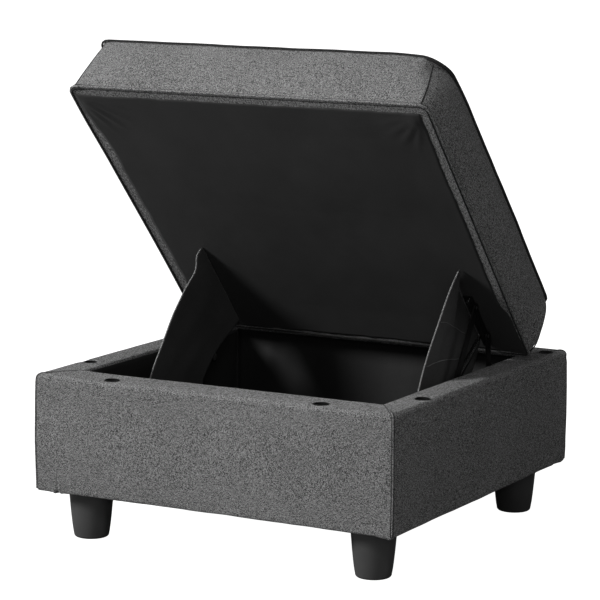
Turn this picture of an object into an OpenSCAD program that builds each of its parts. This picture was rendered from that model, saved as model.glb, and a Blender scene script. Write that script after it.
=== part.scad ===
// Square storage ottoman: an upholstered box on four tapered legs, with a padded lid
// that lifts and slides forward on two spring-assisted four-bar hinges.
// Drawn with the lid open. Millimetres, +X right, +Y to the rear, +Z up.
// The origin is on the floor under the middle of the box.

/* [Box] */
// Width of the box from side to side
box_w = 650; // [600:10:720]
// Depth of the box from front to back
box_d = 650; // [620:10:720]
// Height of the upholstered box above its legs
box_h = 191; // [180:1:240]
// Thickness of the wall panels
panel_t = 15; // [12:1:18]
// Thickness of the upholstery fabric with its backing
fabric_t = 2; // [1:0.5:2]
// Radius of the upright corners
corner_r = 5; // [4:1:6]

/* [Rim] */
// Width of the padded rim along each side
rim_side = 54; // [50:1:60]
// Width of the padded rim at the front
rim_front = 66; // [56:1:80]
// Width of the padded rim at the rear
rim_rear = 90; // [84:1:92]
// Height of the timber rails under the rim
rail_h = 42; // [38:1:50]
// Thickness of the foam strips on the rails
rim_pad_t = 8; // [5:1:10]

/* [Sockets] */
// Inner diameter of the peg sockets in the rim
socket_d = 20; // [16:1:22]
// Depth of the peg sockets
socket_depth = 38; // [30:1:40]
// Distance of the sockets from the rim's outer edge
socket_edge = 19; // [18:1:22]
// Distance of the front sockets from the corners
socket_corner = 135; // [120:5:150]
// Distance of the rear sockets from the rear face
socket_rear = 40; // [38:1:46]

/* [Legs] */
// Height of the legs
leg_h = 83; // [60:1:120]
// Diameter of a leg at the top
leg_top_d = 74; // [64:1:80]
// Diameter of a leg at the floor
leg_foot_d = 54; // [44:1:60]
// Distance of a leg's axis from the box faces
leg_inset = 65; // [60:1:70]

/* [Lid] */
// Width of the lid over its piping
lid_w = 652; // [602:10:722]
// Depth of the lid over its piping
lid_d = 603; // [573:10:673]
// Thickness of the lid
lid_t = 114; // [90:1:130]
// Corner radius of the lid seen from above
lid_corner_r = 35; // [20:1:50]
// Diameter of the piping along the lid's edges
piping_d = 4; // [3:0.5:5]
// Angle of the open lid
lid_angle = 48.2; // [45:0.1:50]
// Distance of the open lid's rear edge from the box's rear face
lid_open_back = 149; // [147:1:151]
// Height of the open lid's rear edge above the rim
lid_open_up = 9; // [8:1:10]
// Distance of the closed lid's rear edge from the box's rear face
lid_closed_back = 47; // [46:1:48]

/* [Hinges] */
// Distance of the rear fixed pivots from the box's rear face
rear_pivot_back = 185; // [183:1:187]
// Distance of the front fixed pivots from the box's rear face
front_pivot_back = 318; // [314:1:320]
// Distance of the rear lid pivots from the lid's rear edge
rear_lid_pivot = 58; // [57:1:59]
// Distance of the front lid pivots from the lid's rear edge
front_lid_pivot = 130; // [128:1:132]
// Depth of the lid pivots under the lid
lid_pivot_drop = 8; // [8:0.5:9]
// Thickness of the hinge steel
steel_t = 3; // [2.5:0.5:3]
// Outer diameter of the tension springs
spring_d = 10; // [8:1:10]
// Wire diameter of the tension springs
wire_d = 2; // [1.5:0.5:2]

/* [Hidden] */
$fn = 48;

// Levels and faces of the box
rim_z = leg_h + box_h;
half_w = box_w / 2;
half_d = box_d / 2;
board_w = half_w - fabric_t;
board_d = half_d - fabric_t;
floor_z = leg_h + fabric_t;
block_h = 18;
floor_t = 9;
lining_t = 1.5;
deck_z = floor_z + block_h + floor_t;
rail_top = rim_z - fabric_t - rim_pad_t;
rail_bottom = rail_top - rail_h;
inner_side = half_w - rim_side;
inner_front = -half_d + rim_front;
inner_rear = half_d - rim_rear;
cover_return = 16;
lining_top = rim_z - fabric_t - cover_return;
post_w = 30;
under_fold = 45;

// Legs and their fasteners
leg_x = half_w - leg_inset;
leg_y = half_d - leg_inset;
leg_edge_r = 5;
bolt_r = 4;
nut_r = 6;
leg_bolt_depth = 25;
nut_cap = 2;

// Peg sockets: the middle of each, seen from above
bush_wall = 2;
rear_socket_edge = socket_edge + 3;
socket_spots = [for (side = [-1, 1]) each [
    [side * (half_w - socket_corner), -half_d + socket_edge],
    [side * (half_w - socket_edge), -half_d + socket_corner],
    [side * (half_w - rear_socket_edge), half_d - socket_rear]]];

// Lid: its own frame has y = 0 at the rear edge, -Y forward and z = 0 at the underside
lid_side = lid_w / 2 - piping_d;
lid_back = -piping_d;
lid_front = piping_d - lid_d;
lid_frame_t = 20;
lid_deck_t = 5;
lid_rail_w = 80;
lid_end_w = 60;
lid_frame_gap = 8;
lid_frame_side = lid_side - fabric_t - lid_frame_gap;
lid_frame_rear = piping_d + lid_frame_gap;
lid_frame_front = lid_d - lid_frame_rear;
lid_frame_corner_r = lid_corner_r - fabric_t - lid_frame_gap;
lid_inner_side = lid_frame_side - lid_rail_w;
lid_border_side = 12;
lid_border_front = 16;
lid_border_rear = 21;
lid_rest_gap = 0.5;

// Hinge planes, from the rim's inner face towards the middle of the box
plate_x = inner_side - steel_t;
link_gap = 0.8;
spring_gap = 1;
flap_gap = 5;
link_x = plate_x - link_gap - steel_t;
bracket_x = link_x - link_gap - steel_t;
spring_x = bracket_x - spring_gap - spring_d / 2;
flap_t = 1.5;
flap_x = spring_x - spring_d / 2 - flap_gap;

// Hinge pivots as [y, z] points, with the lid open
function from_rear(d) = half_d - d;
function turned(p, a) = [p[0] * cos(a) - p[1] * sin(a), p[0] * sin(a) + p[1] * cos(a)];
lid_hinge_open = [from_rear(lid_open_back), rim_z + lid_open_up];
lid_hinge_closed = [from_rear(lid_closed_back), rim_z + lid_rest_gap];
function on_open_lid(p) = lid_hinge_open + turned(p, -lid_angle);
function on_closed_lid(p) = lid_hinge_closed + p;
// The point at depth y that is equally far from points p and q
function equally_far(p, q, y) =
    let (m = (p + q) / 2, d = q - p) [y, m[1] - (y - m[0]) * d[0] / d[1]];
rear_lid_spot = [-rear_lid_pivot, -lid_pivot_drop];
front_lid_spot = [-front_lid_pivot, -lid_pivot_drop];
pivot_a = equally_far(on_open_lid(rear_lid_spot), on_closed_lid(rear_lid_spot),
                      from_rear(rear_pivot_back));
pivot_b = on_open_lid(rear_lid_spot);
pivot_c = equally_far(on_open_lid(front_lid_spot), on_closed_lid(front_lid_spot),
                      from_rear(front_pivot_back));
pivot_d = on_open_lid(front_lid_spot);
spring_post_offset = [-4, -17.5];
spring_post = pivot_c + spring_post_offset;
pin_r = 3.5;
pin_gap = 0.05;
pin_head_r = 6.5;
pin_head_t = 1.6;
eye_r = 7;
bar_waist = 0.15;
slot_pin_r = 3;
slot_r = 6.3;
slot_head_r = slot_r + 1;
slot_head_gap = 0.3;
slot_head_x = bracket_x - slot_head_gap;
slot_from = [2, -2];
slot_to = [11, -3.6];
plate_low = 50;
plate_high = 9;
plate_rear = 14;
plate_front = 20;
flange_drop = 21;
flange_w = 17;
bracket_rear = 47;
bracket_front = 150;
foot_rear = 72;
// The foot is cut away beside the travel of the slot pin's head
notch_rear = 108;
notch_front = 142;
notch_w = slot_head_gap + pin_head_t + 0.6;
// Depths and levels of the plate's screws below the rim
upper_screw_y = [pivot_a[0] + 6, pivot_a[0] - 41, pivot_a[0] - 86, pivot_c[0] - 13];
upper_screw_drop = 25;
lower_screw_y = [pivot_a[0] - 41, pivot_a[0] - 86];
lower_screw_drop = 42;
plate_screw_spots = concat([for (y = upper_screw_y) [y, rim_z - upper_screw_drop]],
                           [for (y = lower_screw_y) [y, rim_z - lower_screw_drop]]);
foot_screw_spots = [82, 110, 138];
foot_screw_inset = 10;
foot_screw_grip = 16;
foot_screw_x = bracket_x + steel_t - foot_screw_inset;
screw_r = 2;
screw_head_r = 4;
screw_head_t = 2;
screw_length = 22;

// Springs: their coils, and the hooks round their two pins
coil_turns = 14;
coil_steps = 10;
hook_steps = 9;
hook_sweep = 250;
coil_end_gap = 16;
coil_r = (spring_d - wire_d) / 2;
hook_r = pin_r + 0.4 + wire_d / 2;
spring_span = norm(pivot_b - spring_post);
coil_length = spring_span - 2 * coil_end_gap;
lower_hook = [for (i = [0:hook_steps])
    let (a = hook_sweep * (1 - i / hook_steps)) [0, hook_r * sin(a), hook_r * cos(a)]];
coil_path = [for (i = [0:coil_turns * coil_steps])
    let (a = 360 * i / coil_steps)
    [coil_r * sin(a), coil_r * cos(a), coil_end_gap + coil_length * i / (coil_turns * coil_steps)]];
upper_hook = [for (i = [0:hook_steps])
    let (a = hook_sweep * i / hook_steps) [0, hook_r * sin(a), spring_span - hook_r * cos(a)]];
spring_path = concat(lower_hook, coil_path, upper_hook);

// Guards beside the hinges: depths from the lid's rear edge where they meet the lid,
// then points as [distance from the box's rear face, height over the rim]
flap_on_lid = [66, 212];
flap_edge = [[347, 105], [384, 52], [402, 0], [404, -60], [398, -120], [250, -120], [232, -40]];
flap_outline = concat([for (u = flap_on_lid) on_open_lid([-u, -1])],
                      [for (p = flap_edge) [from_rear(p[0]), rim_z + p[1]]]);

// ---------- shared shapes ----------

// A box with round upright corners, between x = -side and side and two depths
module rounded_block(side, front, rear, low, high, r) {
    translate([-side + r, front, low]) cube([2 * (side - r), rear - front, high - low]);
    translate([-side, front + r, low]) cube([2 * side, rear - front - 2 * r, high - low]);
    for (x = [-side + r, side - r], y = [front + r, rear - r])
        translate([x, y, low]) cylinder(h = high - low, r = r);
}

// A box between two opposite corners
module block(low, high) {
    translate(low) cube(high - low);
}

// A plate in the plane of the hinges: its outline is drawn as [y, z]
module side_plate(x, t) {
    translate([x, 0, 0]) rotate([90, 0, 90]) linear_extrude(t) children();
}

// A round pin across the hinge planes
module cross_pin(spot, x_from, x_to, r) {
    translate([x_from, spot[0], spot[1]]) rotate([0, 90, 0]) cylinder(h = x_to - x_from, r = r);
}

// A straight bar with round ends, as an outline: its sides are waisted just inside the ends
module bar(p, q, r) {
    d = q - p;
    side = r - bar_waist;
    for (end = [p, q])
        translate(end) circle(r = r);
    translate(p) rotate(atan2(d[1], d[0])) translate([0, -side]) square([norm(d), 2 * side]);
}

module mirrored_pair() {
    children();
    mirror([1, 0, 0]) children();
}

module lid_place() {
    translate([0, lid_hinge_open[0], lid_hinge_open[1]]) rotate([-lid_angle, 0, 0]) children();
}

// ---------- box ----------

module front_panel() color("burlywood")
    block([-board_w, -board_d, floor_z], [board_w, -board_d + panel_t, rail_bottom]);

module rear_panel() color("burlywood")
    block([-board_w, board_d - panel_t, floor_z], [board_w, board_d, rail_bottom]);

module side_panel() color("burlywood")
    block([board_w - panel_t, -board_d + panel_t, floor_z],
          [board_w, board_d - panel_t, rail_bottom]);

module socket_cuts(r) {
    for (spot = socket_spots)
        translate([spot[0], spot[1], rim_z - socket_depth - bush_wall])
            cylinder(h = socket_depth + bush_wall + 1, r = r);
}

// A layer of the rim: low and high are its levels
module front_layer(low, high) {
    block([-board_w, -board_d, low], [board_w, inner_front - fabric_t, high]);
}

module rear_layer(low, high) {
    block([-board_w, inner_rear + fabric_t, low], [board_w, board_d, high]);
}

module side_layer(low, high) {
    block([inner_side + fabric_t, inner_front - fabric_t, low],
          [board_w, inner_rear + fabric_t, high]);
}

module plate_screw_cuts() {
    mirrored_pair() for (spot = plate_screw_spots)
        cross_pin(spot, inner_side - 1, inner_side + screw_length, screw_r);
}

module front_rail() color("tan") difference() {
    front_layer(rail_bottom, rail_top);
    socket_cuts(socket_d / 2 + bush_wall);
}

module rear_rail() color("tan") difference() {
    rear_layer(rail_bottom, rail_top);
    socket_cuts(socket_d / 2 + bush_wall);
}

module side_rail() color("tan") difference() {
    side_layer(rail_bottom, rail_top);
    socket_cuts(socket_d / 2 + bush_wall);
    plate_screw_cuts();
}

module front_rim_pad() color("white") difference() {
    front_layer(rail_top, rail_top + rim_pad_t);
    socket_cuts(socket_d / 2 + bush_wall);
}

module rear_rim_pad() color("white") difference() {
    rear_layer(rail_top, rail_top + rim_pad_t);
    socket_cuts(socket_d / 2 + bush_wall);
}

module side_rim_pad() color("white") difference() {
    side_layer(rail_top, rail_top + rim_pad_t);
    socket_cuts(socket_d / 2 + bush_wall);
}

module corner_posts() color("tan") {
    post_x = board_w - panel_t;
    post_y = board_d - panel_t;
    for (sx = [-1, 1], sy = [-1, 1])
        translate([sx * (post_x - post_w / 2), sy * (post_y - post_w / 2), deck_z])
            translate([-post_w / 2, -post_w / 2, 0])
                cube([post_w, post_w, rail_bottom - deck_z]);
}

module leg_spots() {
    for (sx = [-1, 1], sy = [-1, 1])
        translate([sx * leg_x, sy * leg_y, 0]) children();
}

module leg_blocks() color("tan") {
    block_size = 2 * (board_w - panel_t - leg_x);
    difference() {
        leg_spots() translate([-block_size / 2, -block_size / 2, floor_z])
            cube([block_size, block_size, block_h]);
        leg_spots() translate([0, 0, floor_z - 1]) cylinder(h = block_h + 2, r = nut_r);
    }
}

module floor_panel() color("burlywood")
    block([-board_w + panel_t, -board_d + panel_t, floor_z + block_h],
          [board_w - panel_t, board_d - panel_t, deck_z]);

// Fabric over the walls and the rim, folded under the box and down inside the rim
module base_cover() color("dimgray") difference() {
    rounded_block(half_w, -half_d, half_d, leg_h, rim_z, corner_r);
    block([-board_w, -board_d, floor_z], [board_w, board_d, rim_z - fabric_t - cover_return]);
    difference() {
        block([-board_w, -board_d, floor_z], [board_w, board_d, rim_z - fabric_t]);
        block([-inner_side - fabric_t, inner_front - fabric_t, floor_z - 1],
              [inner_side + fabric_t, inner_rear + fabric_t, rim_z]);
    }
    block([-inner_side, inner_front, leg_h - 1], [inner_side, inner_rear, rim_z + 1]);
    block([-half_w + under_fold, -half_d + under_fold, leg_h - 1],
          [half_w - under_fold, half_d - under_fold, floor_z + 1]);
    socket_cuts(socket_d / 2 + bush_wall);
    leg_spots() cylinder(h = rim_z / 2, r = bolt_r);
}

module base_dust_cover() color("black") difference() {
    block([-half_w + under_fold, -half_d + under_fold, leg_h],
          [half_w - under_fold, half_d - under_fold, floor_z]);
    leg_spots() translate([0, 0, leg_h - 1]) cylinder(h = fabric_t + 2, r = bolt_r);
}

module front_lining() color("black")
    block([-inner_side, inner_front - fabric_t, deck_z],
          [inner_side, inner_front - fabric_t + lining_t, lining_top]);

module rear_lining() color("black")
    block([-inner_side, inner_rear + fabric_t - lining_t, deck_z],
          [inner_side, inner_rear + fabric_t, lining_top]);

module side_lining() color("black") difference() {
    block([inner_side + fabric_t - lining_t, inner_front - fabric_t, deck_z],
          [inner_side + fabric_t, inner_rear + fabric_t, lining_top]);
    plate_screw_cuts();
}

module floor_lining() color("black")
    block([-inner_side, inner_front - fabric_t + lining_t, deck_z],
          [inner_side, inner_rear + fabric_t - lining_t, deck_z + lining_t]);

// Plastic cups that line the peg sockets
module socket_bushes() color("black") {
    for (spot = socket_spots)
        translate([spot[0], spot[1], rim_z - socket_depth - bush_wall]) difference() {
            cylinder(h = socket_depth + bush_wall, r = socket_d / 2 + bush_wall);
            translate([0, 0, bush_wall]) cylinder(h = socket_depth + 1, r = socket_d / 2);
        }
}

// ---------- legs ----------

// Radius of a leg at height z: it tapers to the floor and bellies out slightly
function leg_r(z) = (leg_foot_d + (leg_top_d - leg_foot_d) * pow(z / leg_h, 0.62)) / 2;

module leg(sx, sy) color("#2b2b2d") translate([sx * leg_x, sy * leg_y, 0]) {
    steps = 8;
    edge = [for (a = [-90:22.5:0])
        [leg_r(leg_edge_r) - leg_edge_r * (1 - cos(a)), leg_edge_r * (1 + sin(a))]];
    side = [for (i = [1:steps])
        let (z = leg_edge_r + (leg_h - leg_edge_r) * i / steps) [leg_r(z), z]];
    difference() {
        rotate_extrude() polygon(concat([[0, 0]], edge, side, [[0, leg_h]]));
        translate([0, 0, leg_h - leg_bolt_depth]) cylinder(h = leg_bolt_depth + 1, r = bolt_r);
    }
}

module leg_bolts() color("silver")
    leg_spots() translate([0, 0, leg_h - leg_bolt_depth])
        cylinder(h = leg_bolt_depth + fabric_t + block_h - nut_cap, r = bolt_r);

module leg_nuts() color("silver")
    leg_spots() translate([0, 0, floor_z]) difference() {
        cylinder(h = block_h, r = nut_r);
        translate([0, 0, -1]) cylinder(h = block_h - nut_cap + 1, r = bolt_r);
    }

// ---------- hinges, drawn for the right side ----------

module hinge_plate() color("#26262a") difference() {
    side_plate(plate_x, steel_t)
        translate([pivot_c[0] - plate_front, rim_z - plate_low])
            square([pivot_a[0] - pivot_c[0] + plate_front + plate_rear, plate_low - plate_high]);
    for (spot = [pivot_a, pivot_c, spring_post])
        cross_pin(spot, plate_x - 1, plate_x + steel_t + 1, pin_r);
    for (spot = plate_screw_spots) {
        cross_pin(spot, plate_x - 1, plate_x + steel_t + 1, screw_r);
        cross_pin(spot, plate_x - 1, plate_x + screw_head_t, screw_head_r);
    }
}

module plate_screws() color("silver") mirrored_pair() for (spot = plate_screw_spots) {
    cross_pin(spot, plate_x, plate_x + screw_head_t, screw_head_r);
    cross_pin(spot, plate_x + screw_head_t, inner_side + screw_length, screw_r);
}

// Rivets of the fixed pivots, and the posts that hold the springs' lower hooks
module plate_pins() color("silver") mirrored_pair() {
    for (spot = [pivot_a, pivot_c]) {
        cross_pin(spot, link_x - pin_gap, plate_x + steel_t, pin_r);
        cross_pin(spot, link_x - pin_gap - pin_head_t, link_x - pin_gap, pin_head_r);
    }
    cross_pin(spring_post, spring_x - wire_d, plate_x + steel_t, pin_r);
    cross_pin(spring_post, spring_x - wire_d - pin_head_t, spring_x - wire_d, pin_head_r);
}

module rear_link() color("#26262a") side_plate(link_x, steel_t) difference() {
    bar(pivot_a, pivot_b, eye_r);
    for (spot = [pivot_a, pivot_b])
        translate(spot) circle(r = pin_r + pin_gap);
}

module front_link() color("#26262a") side_plate(link_x, steel_t) difference() {
    bar(pivot_c, pivot_d, eye_r);
    translate(pivot_c) circle(r = pin_r + pin_gap);
    translate(pivot_d) circle(r = slot_pin_r);
}

// Pins at the upper ends of the front links: they ride in the brackets' slots
module front_link_pins() color("silver") mirrored_pair() {
    cross_pin(pivot_d, slot_head_x, link_x + steel_t, slot_pin_r);
    cross_pin(pivot_d, slot_head_x - pin_head_t, slot_head_x, slot_head_r);
}

// Angle under the lid: an upright flange with the pivots and a foot screwed to the lid
module lid_bracket() color("#26262a") lid_place() {
    side_plate(bracket_x, steel_t) difference() {
        translate([-bracket_front, -flange_drop])
            square([bracket_front - bracket_rear, flange_drop]);
        translate(rear_lid_spot) circle(r = pin_r);
        bar(front_lid_spot + slot_from, front_lid_spot + slot_to, slot_r);
    }
    translate([0, 0, -steel_t]) linear_extrude(steel_t) difference() {
        translate([bracket_x + steel_t - flange_w, -bracket_front])
            square([flange_w - steel_t, bracket_front - foot_rear]);
        translate([bracket_x - notch_w, -notch_front])
            square([notch_w + 1, notch_front - notch_rear]);
        for (y = foot_screw_spots)
            translate([foot_screw_x, -y]) circle(r = screw_r);
    }
}

module foot_screw_cuts() {
    mirrored_pair() for (y = foot_screw_spots)
        translate([foot_screw_x, -y, -1])
            cylinder(h = foot_screw_grip + 1, r = screw_r);
}

module bracket_screws() color("silver") lid_place() mirrored_pair() for (y = foot_screw_spots)
    translate([foot_screw_x, -y, -steel_t - screw_head_t]) {
        cylinder(h = screw_head_t, r = screw_head_r);
        cylinder(h = screw_head_t + steel_t + foot_screw_grip, r = screw_r);
    }

// Pins of the rear lid pivots, long enough for the springs' upper hooks
module bracket_pins() color("silver") lid_place() mirrored_pair() {
    cross_pin(rear_lid_spot, spring_x - wire_d, link_x + steel_t, pin_r);
    cross_pin(rear_lid_spot, spring_x - wire_d - pin_head_t, spring_x - wire_d, pin_head_r - 1);
}

function unit(v) = v / norm(v);
function tangent(path, i) =
    unit(path[min(i + 1, len(path) - 1)] - path[max(i - 1, 0)]);
// The sweep's frame is carried from ring to ring, so the wire doesn't twist
function carried(path, i) =
    i == 0 ? [1, 0, 0]
           : let (before = carried(path, i - 1), t = tangent(path, i))
             unit(before - t * (before * t));

module wire(path, r, sides) {
    rings = len(path);
    points = [for (i = [0:rings - 1])
        let (t = tangent(path, i), n = carried(path, i), b = cross(t, n))
        for (k = [0:sides - 1])
            path[i] + r * (cos(360 * k / sides) * n + sin(360 * k / sides) * b)];
    walls = [for (i = [0:rings - 2], k = [0:sides - 1])
        [(i + 1) * sides + k, (i + 1) * sides + (k + 1) % sides,
         i * sides + (k + 1) % sides, i * sides + k]];
    caps = [[for (k = [0:sides - 1]) k], [for (k = [sides - 1:-1:0]) (rings - 1) * sides + k]];
    polyhedron(points, concat(walls, caps));
}

// Tension spring from the lower post to the rear lid pivot: one wire, swept along its path
module spring() color("#3a3a3e") {
    d = pivot_b - spring_post;
    translate([spring_x, spring_post[0], spring_post[1]])
        rotate([-atan2(d[0], d[1]), 0, 0]) wire(spring_path, wire_d / 2, 6);
}

// Black fabric guard beside the hinge, from the lid down into the box
module flap() color("black") side_plate(flap_x, flap_t) polygon(flap_outline);

// ---------- lid, drawn closed in its own frame ----------

// A layer as wide as the lid's frame, with its round corners
module lid_frame_layer(low, high) {
    rounded_block(lid_frame_side, -lid_frame_front, -lid_frame_rear, low, high, lid_frame_corner_r);
}

module lid_rail(low_x, high_x, front, rear) color("tan") lid_place() difference() {
    intersection() {
        lid_frame_layer(fabric_t, fabric_t + lid_frame_t);
        block([low_x, -front, fabric_t], [high_x, -rear, fabric_t + lid_frame_t]);
    }
    foot_screw_cuts();
}

module lid_side_rail(side) {
    lid_rail(side > 0 ? lid_inner_side : -lid_frame_side, side > 0 ? lid_frame_side : -lid_inner_side,
             lid_frame_front, lid_frame_rear);
}

module lid_rear_rail()
    lid_rail(-lid_inner_side, lid_inner_side, lid_frame_rear + lid_end_w, lid_frame_rear);

module lid_front_rail()
    lid_rail(-lid_inner_side, lid_inner_side, lid_frame_front, lid_frame_front - lid_end_w);

module lid_cross_rail()
    lid_rail(-lid_inner_side, lid_inner_side, (lid_d + lid_end_w) / 2, (lid_d - lid_end_w) / 2);

module lid_deck() color("burlywood") lid_place()
    lid_frame_layer(fabric_t + lid_frame_t, fabric_t + lid_frame_t + lid_deck_t);

module lid_foam() color("ivory") lid_place()
    rounded_block(lid_side - fabric_t, lid_front + fabric_t, lid_back - fabric_t,
                  fabric_t + lid_frame_t + lid_deck_t, lid_t - fabric_t,
                  lid_corner_r - fabric_t);

// The opening of the cover's underside, which the dust cover fills
module lid_underside(low, high) {
    block([-lid_side + lid_border_side, lid_front + lid_border_front, low],
          [lid_side - lid_border_side, lid_back - lid_border_rear, high]);
}

module lid_cover() color("dimgray") lid_place() difference() {
    rounded_block(lid_side, lid_front, lid_back, 0, lid_t, lid_corner_r);
    rounded_block(lid_side - fabric_t, lid_front + fabric_t, lid_back - fabric_t,
                  fabric_t, lid_t - fabric_t, lid_corner_r - fabric_t);
    lid_underside(-1, fabric_t + 1);
}

module lid_dust_cover() color("black") lid_place() difference() {
    lid_underside(0, fabric_t);
    foot_screw_cuts();
}

// Piping round the lid, level z
module piping(z) color("#454545") lid_place() {
    r = piping_d / 2;
    run_x = lid_side - lid_corner_r;
    front = lid_front + lid_corner_r;
    rear = lid_back - lid_corner_r;
    bend = lid_corner_r + r;
    for (y = [lid_front - r, lid_back + r])
        translate([-run_x, y, z]) rotate([0, 90, 0]) cylinder(h = 2 * run_x, r = r);
    for (x = [-lid_side - r, lid_side + r])
        translate([x, rear, z]) rotate([90, 0, 0]) cylinder(h = rear - front, r = r);
    for (spot = [[run_x, rear, 0], [-run_x, rear, 90], [-run_x, front, 180], [run_x, front, 270]])
        translate([spot[0], spot[1], z]) rotate(spot[2])
            rotate_extrude(angle = 90) translate([bend, 0]) circle(r = r);
}

module lid_top_piping() piping(lid_t - piping_d);
module lid_bottom_piping() piping(piping_d);

front_panel();
rear_panel();
mirror([1, 0, 0]) side_panel();  // left_panel
side_panel();  // right_panel
front_rail();
rear_rail();
mirror([1, 0, 0]) side_rail();  // left_rail
side_rail();  // right_rail
front_rim_pad();
rear_rim_pad();
mirror([1, 0, 0]) side_rim_pad();  // left_rim_pad
side_rim_pad();  // right_rim_pad
corner_posts();
leg_blocks();
floor_panel();
base_cover();
base_dust_cover();
front_lining();
rear_lining();
mirror([1, 0, 0]) side_lining();  // left_lining
side_lining();  // right_lining
floor_lining();
socket_bushes();
leg(-1, -1);  // leg_front_left
leg(1, -1);  // leg_front_right
leg(-1, 1);  // leg_rear_left
leg(1, 1);  // leg_rear_right
leg_bolts();
leg_nuts();
mirror([1, 0, 0]) hinge_plate();  // hinge_plate_left
hinge_plate();  // hinge_plate_right
plate_screws();
plate_pins();
mirror([1, 0, 0]) spring();  // spring_left
spring();  // spring_right
mirror([1, 0, 0]) flap();  // flap_left
flap();  // flap_right
mirror([1, 0, 0]) rear_link();  // rear_link_left
rear_link();  // rear_link_right
mirror([1, 0, 0]) front_link();  // front_link_left
front_link();  // front_link_right
front_link_pins();
mirror([1, 0, 0]) lid_bracket();  // lid_bracket_left
lid_bracket();  // lid_bracket_right
bracket_screws();
bracket_pins();
lid_front_rail();
lid_rear_rail();
lid_side_rail(-1);  // lid_left_rail
lid_side_rail(1);  // lid_right_rail
lid_cross_rail();
lid_deck();
lid_foam();
lid_cover();
lid_dust_cover();
lid_top_piping();
lid_bottom_piping();
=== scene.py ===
"""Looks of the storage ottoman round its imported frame: upholstery, guards, linings, springs,
legs, materials, studio and camera. Metres, +X to the right, +Y to the rear, +Z up."""

import math

import bmesh
import bpy
import numpy as np
from mathutils import Matrix, Vector, noise


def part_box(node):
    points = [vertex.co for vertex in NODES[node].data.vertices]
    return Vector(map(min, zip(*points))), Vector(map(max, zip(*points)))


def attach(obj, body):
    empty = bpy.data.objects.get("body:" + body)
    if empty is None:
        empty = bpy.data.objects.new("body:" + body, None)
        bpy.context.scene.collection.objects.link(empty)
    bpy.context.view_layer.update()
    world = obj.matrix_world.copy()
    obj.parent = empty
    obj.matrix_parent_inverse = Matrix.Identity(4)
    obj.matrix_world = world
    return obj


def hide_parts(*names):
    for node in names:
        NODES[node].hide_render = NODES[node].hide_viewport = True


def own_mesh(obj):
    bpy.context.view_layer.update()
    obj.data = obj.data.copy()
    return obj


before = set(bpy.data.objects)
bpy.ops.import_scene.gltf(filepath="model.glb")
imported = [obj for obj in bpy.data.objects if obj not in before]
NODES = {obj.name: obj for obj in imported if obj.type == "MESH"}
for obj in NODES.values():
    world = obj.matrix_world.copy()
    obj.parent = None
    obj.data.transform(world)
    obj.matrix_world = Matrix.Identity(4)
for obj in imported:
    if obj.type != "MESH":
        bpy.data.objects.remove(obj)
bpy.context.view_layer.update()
MM = 0.001

# ---------- measures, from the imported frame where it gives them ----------

BOX_LO, BOX_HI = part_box("base_cover")
HALF_W, HALF_D = BOX_HI.x, BOX_HI.y
BOX_Z, RIM_Z = BOX_LO.z, BOX_HI.z
COVER_T = 2 * MM
RIM_SIDE = HALF_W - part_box("right_rail")[0].x + COVER_T
RIM_FRONT = HALF_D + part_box("front_rail")[1].y + COVER_T
RIM_REAR = HALF_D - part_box("rear_rail")[0].y + COVER_T
INNER_X = HALF_W - RIM_SIDE
INNER_FRONT = -HALF_D + RIM_FRONT
INNER_REAR = HALF_D - RIM_REAR
DECK_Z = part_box("floor_panel")[1].z
SOCKETS = [(sx * x, y) for sx in (-1, 1)
           for x, y in ((0.190, -0.306), (0.306, -0.190), (0.303, 0.285))]

# The open lid's own frame: y = 0 at its rear edge, -Y forward, z = 0 at its underside
LID_ANGLE = math.radians(48.2)
LID_HINGE = Vector((0, 0.176, 0.283))
LID_PLACE = Matrix.Translation(LID_HINGE) @ Matrix.Rotation(-LID_ANGLE, 4, "X")
LID_SIDE = 0.322
LID_FRONT, LID_BACK = -0.599, -0.004
LID_T = 0.114

# ---------- mesh helpers ----------


def new_piece(name, points, faces):
    """A smooth-shaded mesh object with its faces turned outward."""
    mesh = bpy.data.meshes.new(name)
    mesh.from_pydata([tuple(p) for p in points], [], faces)
    shell = bmesh.new()
    shell.from_mesh(mesh)
    bmesh.ops.recalc_face_normals(shell, faces=shell.faces)
    shell.to_mesh(mesh)
    shell.free()
    mesh.shade_smooth()
    piece = bpy.data.objects.new(name, mesh)
    bpy.context.scene.collection.objects.link(piece)
    return piece


def grid_faces(rows, cols, wrap=False, first=0):
    """Quads between rows of points; wrap joins each row's last point to its first."""
    faces = []
    for i in range(rows - 1):
        for j in range(cols if wrap else cols - 1):
            a, b, k = first + i * cols, first + (i + 1) * cols, (j + 1) % cols
            faces.append((a + j, a + k, b + k, b + j))
    return faces


def coords(piece):
    flat = np.zeros(len(piece.data.vertices) * 3)
    piece.data.vertices.foreach_get("co", flat)
    return flat.reshape(-1, 3)


def normals(piece):
    flat = np.zeros(len(piece.data.vertices) * 3)
    piece.data.vertices.foreach_get("normal", flat)
    return flat.reshape(-1, 3)


def set_coords(piece, points):
    piece.data.vertices.foreach_set("co", np.asarray(points, float).ravel())
    piece.data.update()


def bake_modifiers(piece):
    """Replaces a piece's mesh by what its modifiers make of it."""
    evaluated = piece.evaluated_get(bpy.context.evaluated_depsgraph_get())
    mesh = bpy.data.meshes.new_from_object(evaluated)
    piece.modifiers.clear()
    old, piece.data = piece.data, mesh
    bpy.data.meshes.remove(old)
    mesh.shade_smooth()


def thicken(piece, t, offset=-1):
    """Gives a sheet a thickness; offset -1 grows it behind its faces."""
    modifier = piece.modifiers.new("thickness", "SOLIDIFY")
    modifier.thickness, modifier.offset, modifier.use_even_offset = t, offset, True
    bake_modifiers(piece)


def subdivide(piece, levels=1):
    modifier = piece.modifiers.new("finer", "SUBSURF")
    modifier.levels = modifier.render_levels = levels
    bake_modifiers(piece)


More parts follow.
